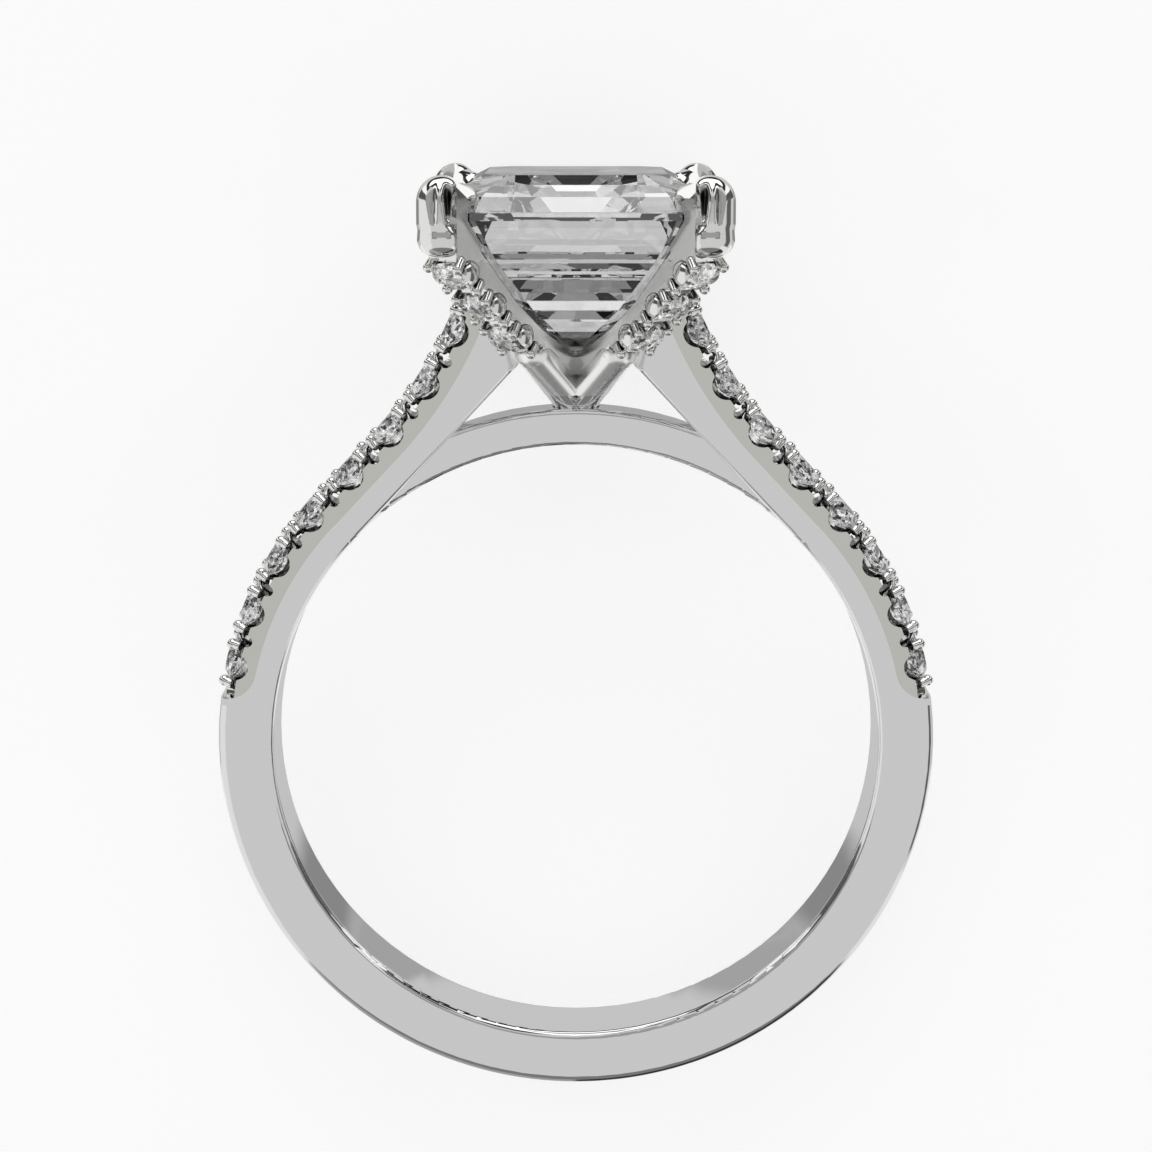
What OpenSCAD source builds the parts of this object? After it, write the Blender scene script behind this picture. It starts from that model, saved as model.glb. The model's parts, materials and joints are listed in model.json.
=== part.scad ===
// A cathedral solitaire ring, lying on its side as it comes to rest.
// Each form is drawn upright first: the finger goes through along Y, and the head is up along Z.
// The last section lays it down on its two rear claws and the foot of the band.

/* [Finger hole] */
// Inside diameter of the band
finger_d = 16.5; // [16:0.1:17]

/* [Band] */
// Width of the band along the finger
band_w = 2.2; // [2:0.05:2.4]
// Thickness of the band
band_t = 1.52; // [1.45:0.01:1.6]
// Rounding of the plain band's two outer edges
outer_round = 0.33; // [0.2:0.01:0.4]
// Rounding of the edges next to the finger
inner_round = 0.2; // [0.1:0.01:0.25]
// Angle above the band's middle at which the plain band gives way to the stones
pave_start = 8; // [7:0.5:9]
// How far the metal between the stones lies below the plain band's surface
pave_drop = 0.05; // [0.03:0.01:0.1]

/* [Bridge under the head] */
// Width of the bridge along the finger
bridge_w = 1.44; // [1.3:0.02:1.6]
// Thickness of the bridge
bridge_t = 0.97; // [0.9:0.01:1.1]
// Rounding of the bridge's edges
bridge_round = 0.14; // [0.1:0.01:0.2]

/* [Shoulders] */
// Angle at which the shoulders leave the round of the band
leave = 43.2; // [42.5:0.1:44]
// Length of the straight stretch of a shoulder's outer edge
outer_straight = 2.52; // [2.4:0.01:2.6]
// Radius of the sweep that turns the outer edge up to the head
sweep_r = 11.2; // [10.5:0.1:12]
// Half distance between the two shoulders' ends, on the front face
shoulder_end = 1.94; // [1.9:0.01:2]

/* [Shoulder stones] */
// Diameter of a shoulder stone
shoulder_stone_d = 1.3; // [1.2:0.01:1.32]
// Distance between the middles of two shoulder stones
shoulder_pitch = 1.58; // [1.56:0.01:1.6]
// Angle of the lowest shoulder stone above the band's middle
first_stone = 13.6; // [13.4:0.1:14]

/* [Head] */
// Half distance between the left and right claws
claw_x = 3.36; // [3.3:0.02:3.4]
// Half distance between the front and back claws
claw_y = 4.04; // [4:0.02:4.1]
// Radius of a claw
claw_r = 0.65; // [0.6:0.01:0.68]
// Height of the claws' tops above the middle of the finger hole
claw_top = 15.55; // [15.5:0.05:15.7]
// Height of the claws' lower ends
claw_foot = 13.5; // [13.4:0.05:13.6]
// Width of an arm
arm_w = 0.94; // [0.9:0.01:1]
// Slope of the arms' outer faces above level
arm_slope = 40; // [39.5:0.1:40.5]
// Diameter of an arm stone
arm_stone_d = 1.08; // [1:0.01:1.12]
// Distance between the middles of two arm stones
arm_pitch = 1.37; // [1.34:0.01:1.4]

/* [Centre stone] */
// Width of the centre stone, across the finger
stone_w = 6.9; // [6.8:0.02:7]
// Length of the centre stone, along the finger
stone_l = 8.3; // [8.2:0.02:8.4]
// Height of its table above the middle of the finger hole
table_z = 15.5; // [15.48:0.01:15.56]
// Depth of the stone from its table to its keel
stone_h = 4.7; // [4.6:0.02:4.72]

/* [Hidden] */
$fn = 48;
// Clear gap between a stone and the metal
gap = 0.025;
row_stones = 8;
arm_stones = 3;
sides = ["left", "right"];
corners = ["front_left", "front_right", "back_left", "back_right"];
function row_name(side, k) = str(side, "_shoulder_stone_", k);
function arm_name(corner, k) = str(corner, "_arm_stone_", k);

metal = "#c9cac6";
clear = "#dfeaf0";
hole_r = finger_d / 2;
band_r = hole_r + band_t;
pave_r = band_r - pave_drop;
half_w = band_w / 2;
// How far two forms that continue each other run into one another, and the fine step between them
overlap = 1.5;
fine_step = 0.01;
// The radius at which the band's inner and outer layers share metal
core_r = hole_r + 0.95;

// Points and directions in the upright ring's own plane, where 0 is level and 90 is up
function on_circle(r, a) = [r * cos(a), r * sin(a)];
function heading(a) = [-sin(a), cos(a)];

// The right shoulder's outer edge: an arc of the band, a straight, then a sweep up to the head
arc_length = pave_r * (leave - first_stone) * PI / 180;
leave_point = on_circle(pave_r - fine_step, leave);
sweep_start = leave_point + outer_straight * heading(leave);
sweep_centre = sweep_start + on_circle(sweep_r, leave);
function degrees(length, r) = length / r * 180 / PI;
function arc_place(a) = concat(on_circle(pave_r, a), [a]);
function straight_place(s) = concat(leave_point + s * heading(leave), [leave]);
function sweep_place(a) = concat(sweep_centre - on_circle(sweep_r, a), [a]);
// The edge's place at the distance s from the lowest stone: [x, z, angle of its outward side]
function edge_at(s) =
    s < arc_length ? arc_place(first_stone + degrees(s, pave_r))
    : s < arc_length + outer_straight ? straight_place(s - arc_length)
    : sweep_place(leave - degrees(s - arc_length - outer_straight, sweep_r));

// The shoulder's straight inner edge touches the finger hole and runs up to the head
inner_start = on_circle(hole_r + fine_step, leave);
function inner_at(x) = [x, inner_start[1] + (inner_start[0] - x) / tan(leave)];
row_length = (row_stones - 1) * shoulder_pitch;
past_stone = 0.72;
bar_top = edge_at(row_length + past_stone);
// From its top the shoulder runs level for a little, then drops to its end
end_level = 0.45;
end_drop = 0.35;
// The shoulder's end narrows to this half distance and half width, where the arms meet it
wedge_tip = [0.7, 0.45];
// Side view of the wedge: where it leaves the inner line, its tip's heights, its middle and its root
wedge_leave = 1.5;
wedge_heights = [10.2, 10.6];
wedge_middle = [1.2, 11.1];
wedge_root = 11.6;
// How far the wedge runs into the shoulder
wedge_run = 0.2;
// The block that bounds the wedge from above: how far it starts below the tip, and how tall it is
wedge_below = 1.2;
wedge_tall = 3;

// The ring rests on the rounded feet of its two rear claws and on the rounded edge of its band
claw_foot_round = 0.45;
foot_place = [claw_foot + claw_foot_round, claw_r + claw_y - claw_foot_round];
edge_place = [outer_round - band_r, half_w - outer_round];
rest_run = foot_place - edge_place;
rest_tilt = atan2(rest_run[1], rest_run[0]) + asin((claw_foot_round - outer_round) / norm(rest_run));
rest_floor = foot_place[0] * sin(rest_tilt) - foot_place[1] * cos(rest_tilt) - claw_foot_round;
rest_far = (claw_top - claw_r) * cos(rest_tilt) + claw_y * sin(rest_tilt) + claw_r;
rest_near = edge_place[0] * cos(rest_tilt) - edge_place[1] * sin(rest_tilt) - outer_round;

// Round stones: heights and table as shares of the diameter
crown_share = 0.15;
girdle_share = 0.04;
pavilion_share = 0.43;
table_share = 0.57;
// How far a round stone's table stands above the metal that it is set in
table_proud = 0.11;
// Bead prongs round a stone, as shares of its diameter along and across the row
bead_along = 0.415;
bead_across = 0.56;
bead_r = 0.17;
// How far a bead's stem runs down into the metal
bead_stem = 0.3;
// The scallop under a stone's side: its radius as a share of the diameter, and its depth in each row
scallop_share = 0.3;
row_scallop = 0.56;
arm_scallop = 0.46;
// How far a cutter runs out on both sides of the metal, taken together
cut_over = 0.6;

// The arms lie in the upright planes through the claws and the ring's axis
arm_turn = atan2(claw_y, claw_x);
claw_reach = norm([claw_x, claw_y]);
// An arm's outer line by the distance from the axis, and the place of its lowest stone
function arm_line(d) = [d, arm_root + d * tan(arm_slope)];
arm_root = 8.84;
arm_first = 2.78;
// The arm's foot in the bridge, and its outer end inside the claw
arm_foot = [[-0.3, 9.0], [0.25, 9.0], arm_line(0.45)];
arm_end = [arm_line(5.5), [5.5, 14.2], [4.95, 14.5]];
// The claw's hook over the stone's corner: its reach inwards, its dip below level and its radius
hook_length = 0.72;
hook_dip = 5;
hook_r = 0.45;
// The inner line follows the centre stone's steps
arm_inner = [[4.9, 14.4], [3.99, 13.34], [2.95, 12.27], [1.95, 11.5], [0.49, 10.62], [-0.3, 10.2]];

// The centre stone's steps: height, half width, half length, cut across each corner
half_sw = stone_w / 2;
half_sl = stone_l / 2;
keel_half = 0.8;
keel_gap = 0.9;
// Length of the cutters that make the room for the centre stone, longer than the whole head
room_length = 12;
stone_steps = [
    [table_z, half_sw - 1.1, half_sl - 1.2, 0.6],
    [table_z - 0.23, half_sw - 0.66, half_sl - 0.76, 0.68],
    [table_z - 0.51, half_sw - 0.3, half_sl - 0.35, 0.78],
    [table_z - 0.87, half_sw, half_sl, 0.92],
    [table_z - 1.09, half_sw, half_sl, 0.92],
    [table_z - 2.1, half_sw - 0.65, half_sl - 0.7, 0.75],
    [table_z - 3.5, half_sw - 1.85, half_sl - 1.9, 0.5]
];

// The waste outside a rounded corner at x, y, whose metal lies towards dx, dy
module corner_waste(x, y, dx, dy, r) {
    translate([x, y])
        mirror([dx < 0 ? 1 : 0, 0])
            mirror([0, dy < 0 ? 1 : 0])
                difference() {
                    translate([-0.1, -0.1]) square(r + 0.1);
                    translate([r, r]) circle(r);
                }
}

// Profile of a band: x is the distance from the ring's axis, and y runs along the finger
module band_profile(inner, outer, width, in_round, out_round) {
    difference() {
        translate([inner, -width / 2]) square([outer - inner, width]);
        for (s = [-1, 1]) {
            if (in_round > 0) corner_waste(inner, s * width / 2, 1, -s, in_round);
            if (out_round > 0) corner_waste(outer, s * width / 2, -1, -s, out_round);
        }
    }
}

// A stretch of band round the finger hole from angle a to angle b
module band_arc(a, b, inner, outer, width, in_round, out_round) {
    rotate([90, 0, 0])
        rotate([0, 0, a])
            rotate_extrude(angle = b - a)
                band_profile(inner, outer, width, in_round, out_round);
}

// The band has one inner layer all round, and an outer layer that is plain below and flat under the stones
module band() {
    band_arc(180 - leave - overlap, 360 + leave + overlap, hole_r, core_r, band_w, inner_round, 0);
    band_arc(180 - pave_start, 360 + pave_start, core_r - 0.2, band_r, band_w, 0, outer_round);
    for (a = [pave_start - 1, 180 - leave - overlap])
        band_arc(a, a + leave + overlap - pave_start + 1, core_r - 0.2, pave_r, band_w, 0, 0);
}

module bridge() {
    band_arc(leave - 3, 183 - leave, hole_r, hole_r + bridge_t, bridge_w, bridge_round, bridge_round);
}

// Side outline of the right shoulder beyond the round of the band
module shoulder_outline() {
    difference() {
        polygon([
            inner_start,
            on_circle((hole_r + pave_r) / 2, leave - 2 * overlap),
            leave_point,
            sweep_start,
            [bar_top[0], bar_top[1]],
            [bar_top[0] - end_level, bar_top[1]],
            [shoulder_end, bar_top[1] - end_drop],
            inner_at(shoulder_end)
        ]);
        translate(sweep_centre) circle(sweep_r);
    }
}

// The rounding of the shoulder's straight inner edge, as a pair of long strips
module shoulder_edges() {
    length = norm(inner_at(0) - inner_start);
    rotate([90, 0, 0])
        translate([inner_start[0], inner_start[1], 0])
            rotate([90, 0, leave])
                translate([0, 0, -length])
                    linear_extrude(length)
                        for (s = [-1, 1]) corner_waste(0, s * half_w, 1, -s, inner_round);
}

// The shoulder's end narrows between the front and back arms until it meets them
module shoulder_wedge() {
    intersection() {
        rotate([90, 0, 0])
            linear_extrude(band_w, center = true)
                polygon([
                    inner_at(shoulder_end + wedge_run),
                    inner_at(wedge_leave),
                    [wedge_tip[0], wedge_heights[0]],
                    [wedge_tip[0], wedge_heights[1]],
                    wedge_middle,
                    [shoulder_end + wedge_run, wedge_root]
                ]);
        translate([0, 0, wedge_heights[0] - wedge_below])
            linear_extrude(wedge_tall)
                polygon([
                    [shoulder_end, half_w],
                    [wedge_tip[0], wedge_tip[1]],
                    [wedge_tip[0], -wedge_tip[1]],
                    [shoulder_end, -half_w],
                    [shoulder_end + wedge_run, -half_w],
                    [shoulder_end + wedge_run, half_w]
                ]);
    }
}

module shoulder() {
    difference() {
        union() {
            rotate([90, 0, 0]) linear_extrude(band_w, center = true) shoulder_outline();
            shoulder_wedge();
        }
        shoulder_edges();
    }
}

// Puts a form drawn round a stone into the right shoulder's row
module in_row(k) {
    place = edge_at((k - 1) * shoulder_pitch);
    translate([place[0], 0, place[1]]) rotate([0, 90 - place[2], 0]) children();
}

// Puts a form drawn round a stone onto the arm that runs out along X
module on_arm(k) {
    d = arm_first + (k - 1) * arm_pitch * cos(arm_slope);
    place = arm_line(d);
    translate([place[0], 0, place[1]]) rotate([0, 90 + 90 - arm_slope, 0]) children();
}

// A form drawn on the arm along X, at each of the four corners
module at_corner(corner) {
    front = corner == corners[0] || corner == corners[1] ? 1 : 0;
    left = corner == corners[0] || corner == corners[2] ? 1 : 0;
    mirror([left, 0, 0]) mirror([0, front, 0]) rotate([0, 0, arm_turn]) children();
}

// A round stone of diameter d, point down, with its girdle's top at the height that sets its table
module round_stone(d) {
    r = d / 2;
    top = table_proud;
    girdle = top - crown_share * d;
    low = girdle - girdle_share * d;
    function ring(count, radius, z, turn) =
        [for (i = [0 : count - 1]) concat(on_circle(radius, (i + turn) * 360 / count), [z])];
    points = concat(
        ring(8, table_share * r, top, 0.5),
        ring(8, 0.8 * r, top - 0.48 * crown_share * d, 0),
        ring(16, r, girdle, 0),
        ring(16, r, low, 0),
        ring(8, 0.24 * r, low - 0.74 * pavilion_share * d, 0.5),
        [[0, 0, low - pavilion_share * d]]
    );
    hull() polyhedron(points, [for (i = [0 : len(points) - 3]) [i, i + 1, i + 2]]);
}

// The room that a round stone of diameter d takes in the metal, a little larger than the stone
module stone_room(d) {
    r = d / 2 + gap;
    top = table_proud;
    girdle = top - crown_share * d;
    low = girdle - girdle_share * d - gap;
    rotate_extrude()
        polygon([
            [0, low - pavilion_share * d],
            [r, low],
            [r, girdle + gap],
            [table_share * r + gap, top + 2 * gap],
            [table_share * r + gap, top + 1],
            [0, top + 1]
        ]);
}

// The scallop that opens a stone's side, right through the width
module scallop(d, width, depth) {
    r = scallop_share * d;
    rotate([90, 0, 0])
        linear_extrude(width + cut_over, center = true) {
            translate([0, r - depth]) circle(r);
            translate([-r, r - depth]) square([2 * r, 1]);
        }
}

// The four bead prongs round a stone
module beads(d) {
    for (x = [-1, 1])
        for (y = [-1, 1])
            translate([x * bead_along * d, y * bead_across * d, 0]) {
                sphere(bead_r);
                translate([0, 0, -bead_stem]) cylinder(bead_stem, bead_r, bead_r);
            }
}

// A claw round its own upright axis
module claw_column() {
    dome_z = claw_top - claw_r;
    rotate_extrude()
        difference() {
            union() {
                translate([0, claw_foot + claw_foot_round]) square([claw_r, dome_z - claw_foot - claw_foot_round]);
                translate([0, claw_foot]) square([claw_r - claw_foot_round, claw_foot_round]);
                translate([claw_r - claw_foot_round, claw_foot + claw_foot_round]) circle(claw_foot_round);
                translate([0, dome_z]) circle(claw_r);
            }
            translate([-claw_r, claw_foot - 1]) square([claw_r, 4]);
        }
}

// The claw and its tip over the stone, at the end of the arm that runs out along X
module claw() {
    translate([claw_reach, 0, 0]) claw_column();
    translate([claw_reach - 0.1, 0, claw_top - claw_r])
        rotate([0, -90 - hook_dip, 0]) {
            cylinder(hook_length, hook_r, hook_r);
            translate([0, 0, hook_length]) sphere(hook_r);
        }
}

// The solid of the arm that runs out along X
module arm() {
    rotate([90, 0, 0])
        linear_extrude(arm_w, center = true)
            polygon(concat(arm_foot, arm_end, arm_inner));
    claw();
}

module centre_stone() {
    function ring(step) = let (z = step[0], a = step[1], b = step[2], c = step[3]) [
        [a, c - b, z], [a, b - c, z], [a - c, b, z], [c - a, b, z],
        [-a, b - c, z], [-a, c - b, z], [c - a, -b, z], [a - c, -b, z]
    ];
    count = len(stone_steps);
    keel = [[0, keel_half, table_z - stone_h], [0, -keel_half, table_z - stone_h]];
    points = concat([for (step = stone_steps) for (p = ring(step)) p], keel);
    walls = [for (k = [0 : count - 2]) for (i = [0 : 7]) let (j = (i + 1) % 8)
        [8 * k + i, 8 * k + j, 8 * k + 8 + j, 8 * k + 8 + i]];
    last = 8 * (count - 1);
    back = 8 * count;
    front = back + 1;
    tip = [
        [last, last + 1, back, front],
        [last + 1, last + 2, back],
        [last + 2, last + 3, back],
        [last + 3, last + 4, back],
        [last + 4, last + 5, front, back],
        [last + 5, last + 6, front],
        [last + 6, last + 7, front],
        [last + 7, last, front]
    ];
    polyhedron(points, concat([[7, 6, 5, 4, 3, 2, 1, 0]], walls, tip));
}

// Side profile of the room for the centre stone, as half widths up its steps
module step_profile(widths) {
    heights = [for (step = stone_steps) step[0]];
    count = len(widths);
    polygon(concat(
        [[-widths[0] - gap, table_z + 3]],
        [for (k = [0 : count - 1]) [-widths[k] - gap, heights[k]]],
        [[-keel_gap, table_z - stone_h - gap], [keel_gap, table_z - stone_h - gap]],
        [for (k = [count - 1 : -1 : 0]) [widths[k] + gap, heights[k]]],
        [[widths[0] + gap, table_z + 3]]
    ));
}

// The room that the centre stone takes among the claws and arms
module centre_room() {
    intersection() {
        rotate([90, 0, 0])
            linear_extrude(room_length, center = true) step_profile([for (step = stone_steps) step[1]]);
        rotate([90, 0, 90])
            linear_extrude(room_length, center = true) step_profile([for (step = stone_steps) step[2]]);
        rotate([90, 0, 45])
            linear_extrude(room_length, center = true)
                step_profile([for (step = stone_steps) (step[1] + step[2] - step[3]) * sqrt(0.5)]);
        rotate([90, 0, -45])
            linear_extrude(room_length, center = true)
                step_profile([for (step = stone_steps) (step[1] + step[2] - step[3]) * sqrt(0.5)]);
    }
}

// The metal before any stone is let in
module blank() {
    union() {
        union() {
            band();
            union() {
                bridge();
                for (m = [0, 1]) mirror([m, 0, 0]) shoulder();
            }
        }
        union() {
            for (corner = corners) at_corner(corner) arm();
        }
    }
}

module upright_mounting() {
    difference() {
        blank();
        centre_room();
        for (m = [0, 1]) mirror([m, 0, 0])
            for (k = [1 : row_stones]) in_row(k) {
                stone_room(shoulder_stone_d);
                scallop(shoulder_stone_d, band_w, row_scallop);
            }
        for (corner = corners) at_corner(corner)
            for (k = [1 : arm_stones]) on_arm(k) {
                stone_room(arm_stone_d);
                scallop(arm_stone_d, arm_w, arm_scallop);
            }
    }
    for (m = [0, 1]) mirror([m, 0, 0])
        for (k = [1 : row_stones]) in_row(k) beads(shoulder_stone_d);
    for (corner = corners) at_corner(corner)
        for (k = [1 : arm_stones]) on_arm(k) beads(arm_stone_d);
}

// Lays the upright ring down on its side, with its box's bottom centre at the origin
module laid() {
    translate([0, -(rest_far + rest_near) / 2, -rest_floor]) rotate([rest_tilt - 90, 0, 0]) children();
}

module mounting() {
    color(metal) laid() upright_mounting();
}

mounting();
color(clear) laid() centre_stone();
for (m = [0, 1])
    for (k = [1 : row_stones])
        color(clear) laid() mirror([1 - m, 0, 0]) in_row(k) round_stone(shoulder_stone_d);
for (corner = corners)
    for (k = [1 : arm_stones])
        color(clear) laid() at_corner(corner) on_arm(k) round_stone(arm_stone_d);
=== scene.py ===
# %% [markdown]
# A finger ring with a step-cut centre stone. Four claws on raised arms hold it, and small round
# stones run along the arms and the shoulders. The imported model gives every solid its place. This
# script gives the metal its cast and polished forms, the stones their sparkle, and the ring its
# light. Every new piece has to stay inside it.

# %% Load the imported model
import json
import math

import bpy
from mathutils import Matrix, Vector
from mathutils.bvhtree import BVHTree


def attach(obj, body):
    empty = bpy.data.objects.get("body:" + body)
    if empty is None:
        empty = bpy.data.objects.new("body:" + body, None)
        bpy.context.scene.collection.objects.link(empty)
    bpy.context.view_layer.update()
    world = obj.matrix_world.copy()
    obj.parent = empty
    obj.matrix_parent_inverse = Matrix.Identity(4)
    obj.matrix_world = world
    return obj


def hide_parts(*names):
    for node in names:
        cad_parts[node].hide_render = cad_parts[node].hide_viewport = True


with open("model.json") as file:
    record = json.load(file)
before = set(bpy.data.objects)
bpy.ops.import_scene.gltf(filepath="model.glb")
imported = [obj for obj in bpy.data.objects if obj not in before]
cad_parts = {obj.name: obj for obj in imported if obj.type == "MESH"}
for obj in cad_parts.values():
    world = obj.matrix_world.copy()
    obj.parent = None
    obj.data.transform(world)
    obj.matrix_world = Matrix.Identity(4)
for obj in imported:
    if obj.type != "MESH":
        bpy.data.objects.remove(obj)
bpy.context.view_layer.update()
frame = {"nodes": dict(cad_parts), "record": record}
nodes = frame["nodes"]

# %% [markdown]
# The ring lies on its side, tilted a little, on its two rear claws and the foot of its band. It is
# easier to think of it upright, with the finger along Y and the head up along Z. The finger hole
# is a mount in the record, whose place and axis tell how the upright ring was laid down.
# Everything new is modelled upright and in millimetres, on a bench, and one matrix then lays each
# finished piece down. Modelled in place, every angle of the ring would be an odd one.

# %% From the upright bench, in millimetres, to the ring as it lies, in metres
MM = 0.001
bore = frame["record"]["mounts"][0]
rest_tilt = math.atan2(-bore["axis"][1], bore["axis"][2])
laying_turn = rest_tilt - math.pi / 2
LAID = Matrix.Translation(bore["pos_m"]) @ Matrix.Rotation(laying_turn, 4, "X")
BENCH = LAID @ Matrix.Scale(MM, 4)
print("tilt in degrees:", round(math.degrees(rest_tilt), 2))

# %% [markdown]
# The camera stands where the photographer's stood, told in the upright ring's own terms: 70 mm in
# front of the hole's middle and 18 mm above it, looking down 11 degrees through a long lens. It
# could be set by eye, but a place worked out from points of the ring keeps the outline true.

# %% Camera
EYE_FRONT, EYE_UP, LOOK_DOWN = 69.67, 18.29, 11.166
camera = bpy.data.objects.new("camera", bpy.data.cameras.new("camera"))
bpy.context.collection.objects.link(camera)
camera.data.sensor_width = 36
camera.data.lens = 81.2
camera.data.clip_start = 0.001
camera.data.clip_end = 10
eye = Matrix.Translation(Vector((0, -EYE_FRONT, EYE_UP)) * MM)
camera.matrix_world = LAID @ eye @ Matrix.Rotation(math.radians(90 - LOOK_DOWN), 4, "X")
bpy.context.scene.camera = camera
bpy.context.scene.view_settings.view_transform = "Standard"
print("camera at", [round(c, 4) for c in camera.matrix_world.translation])

# %% [markdown]
# Polished metal and cut stones show little of themselves. What the eye reads as bright metal or
# as a dark facet is the room around them. A jeweller's photographer hangs pale cloth and black
# cards round the ring. Lamps and planes could stand in for them, but a world that gives each
# direction its own brightness does it with nothing in the way. It is wired from nodes, so the
# first helper adds a node with its settings and its inputs.

# %% A helper for nodes, and the studio's sums
def add_node(tree, kind, inputs=None, **settings):
    """Adds a node. Its inputs, by name or number, are linked to an output or set to a value."""
    node = tree.nodes.new(kind)
    for name, value in settings.items():
        setattr(node, name, value)
    for socket, source in (inputs or {}).items():
        if isinstance(source, bpy.types.NodeSocket):
            tree.links.new(source, node.inputs[socket])
        else:
            node.inputs[socket].default_value = source
    return node


world = bpy.data.worlds.new("studio")
bpy.context.scene.world = world
world.use_nodes = True
room = world.node_tree


def room_math(operation, first, second=0.0):
    return add_node(room, "ShaderNodeMath", {0: first, 1: second}, operation=operation).outputs[0]


def step_up(value, low, high):
    """From 0 below low to 1 above high, with a soft edge between them."""
    limits = {"Value": value, "From Min": low, "From Max": high}
    node = add_node(room, "ShaderNodeMapRange", limits, interpolation_type="SMOOTHSTEP")
    return node.outputs["Result"]


def between(value, low, high, soft):
    """1 between low and high and 0 outside, with soft edges."""
    rise = step_up(value, low - soft / 2, low + soft / 2)
    fall = step_up(value, high - soft / 2, high + soft / 2)
    return room_math("SUBTRACT", rise, fall)


def blended(share, plain, other):
    """A brightness between two, by the share that the second one has."""
    ways = {"Factor": share, "A": plain, "B": other}
    return add_node(room, "ShaderNodeMix", ways, data_type="FLOAT").outputs["Result"]


print("studio nodes so far:", len(room.nodes))

# %% [markdown]
# The world is asked for the light of one direction at a time. Each is first turned back to the
# upright ring. A card can then be hung by its height and by its angle from the front, in degrees.

# %% Height and angle of a direction
view = add_node(room, "ShaderNodeTexCoord").outputs["Generated"]
upright_view = add_node(
    room, "ShaderNodeVectorRotate", {"Vector": view, "Angle": -laying_turn}, rotation_type="X_AXIS"
).outputs["Vector"]
sight = add_node(room, "ShaderNodeSeparateXYZ", {0: upright_view})
height = room_math("DEGREES", room_math("ARCSINE", sight.outputs["Z"]))
frontward = room_math("MULTIPLY", sight.outputs["Y"], -1)
round_about = room_math("DEGREES", room_math("ARCTAN2", sight.outputs["X"], frontward))
aside = room_math("ABSOLUTE", round_about)
print("nodes with those for a direction:", len(room.nodes))

# %% [markdown]
# The cards were hung one by one, by finding which direction each surface of the ring mirrors and
# how bright that surface is in the photograph. A later card covers an earlier one. Their edges
# are a little soft, because a hard edge would draw a line across the plain band.

# %% The cards of light and dark
WALLS = 0.70
SOFT_HEIGHT, SOFT_ANGLE = 4.0, 8.0
# Brightness, lowest and highest, nearest and furthest from the front, and -1 left, 1 right, 0 both
CARDS = [
    (0.88, -40, 25, 50, 140, -1),
    (1.60, 58, 95, -5, 185, 0),
    (0.03, 40, 59, 12, 185, 0),
    (0.10, 5, 25, 42, 130, 0),
    (0.16, -6, 8, 22, 44, 0),
    (1.15, 25, 39, 45, 130, 0),
    (0.42, 2, 14, 130, 185, 0),
    (0.66, 14, 30, 130, 185, 0),
    (0.60, -18, 2, 120, 185, 0),
    (1.00, -38, -18, 120, 185, 0),
    (0.13, -32, 10, 76, 104, 1),
    (0.28, -8, 2, 125, 185, 0),
    (0.38, -3, 24, -5, 40, 0),
    (0.90, -50, -34, 60, 150, 0),
    (0.22, -95, -49, -5, 70, 0),
    (0.40, -95, -51, 70, 185, -1),
    (0.04, -95, -51, 70, 185, 1),
]
level = WALLS
for brightness, low, high, near, far, side in CARDS:
    mask = between(height, low, high, SOFT_HEIGHT)
    mask = room_math("MULTIPLY", mask, between(aside, near, far, SOFT_ANGLE))
    if side:
        on_side = step_up(room_math("MULTIPLY", round_about, side), 0, 1)
        mask = room_math("MULTIPLY", mask, on_side)
    level = blended(mask, level, brightness)
print("light and dark cards:", len(CARDS))

# %% [markdown]
# A cut stone folds its surroundings into many small pieces, from black to white. Smooth cards
# would come out of it as smooth greys, so light that has passed through a stone sees a room of
# patches instead, which the facets break up further.

# %% The patches that the stones see
def stepped(tree, value, steps):
    """A ramp of flat grey tones; steps are places and tones."""
    node = add_node(tree, "ShaderNodeValToRGB", {0: value})
    node.color_ramp.interpolation = "CONSTANT"
    stops = node.color_ramp.elements
    for k, (place, tone) in enumerate(steps):
        stop = stops[0] if k == 0 else stops[-1] if k == len(steps) - 1 else stops.new(place)
        stop.position = place
        stop.color = (tone, tone, tone, 1)
    return node.outputs[0]


PATCH_SCALE, PATCH_SHIFT = 1.6, (3.1, 1.7, 5.2)
PATCH_TONES = [(0.0, 0.02), (0.20, 0.34), (0.32, 0.50), (0.50, 0.72), (0.80, 1.05)]
shifted = add_node(room, "ShaderNodeVectorMath", {0: upright_view, 1: PATCH_SHIFT})
patches = add_node(
    room, "ShaderNodeTexVoronoi", {"Vector": shifted.outputs[0], "Scale": PATCH_SCALE}
)
patch_value = add_node(room, "ShaderNodeSeparateColor", {0: patches.outputs["Color"]})
patch_level = stepped(room, patch_value.outputs[0], PATCH_TONES)
path = add_node(room, "ShaderNodeLightPath")
level = blended(path.outputs["Is Transmission Ray"], level, patch_level)
print("tones of the patches:", len(PATCH_TONES))

# %% [markdown]
# Behind the ring the photograph shows only pale paper. The camera's own rays therefore meet one
# even tone, and everything that the ring mirrors still comes from the cards.

# %% The pale backdrop
PALE = (0.955, 0.955, 0.955, 1)
surround = room.nodes["Background"]
room.links.new(level, surround.inputs["Color"])
backdrop = add_node(room, "ShaderNodeBackground", {"Color": PALE})
choose = add_node(room, "ShaderNodeMixShader", {
    0: path.outputs["Is Camera Ray"], 1: surround.outputs[0], 2: backdrop.outputs[0],
})
room.links.new(choose.outputs[0], room.nodes["World Output"].inputs["Surface"])
print("nodes in the studio:", len(room.nodes))

# %% [markdown]
# The ring lies on a pale table. Polished metal would mirror it as one flat sheet from below, so
# this table is there for the camera alone. It gives off some light of its own, so that it stays
# as pale as the backdrop.

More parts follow.
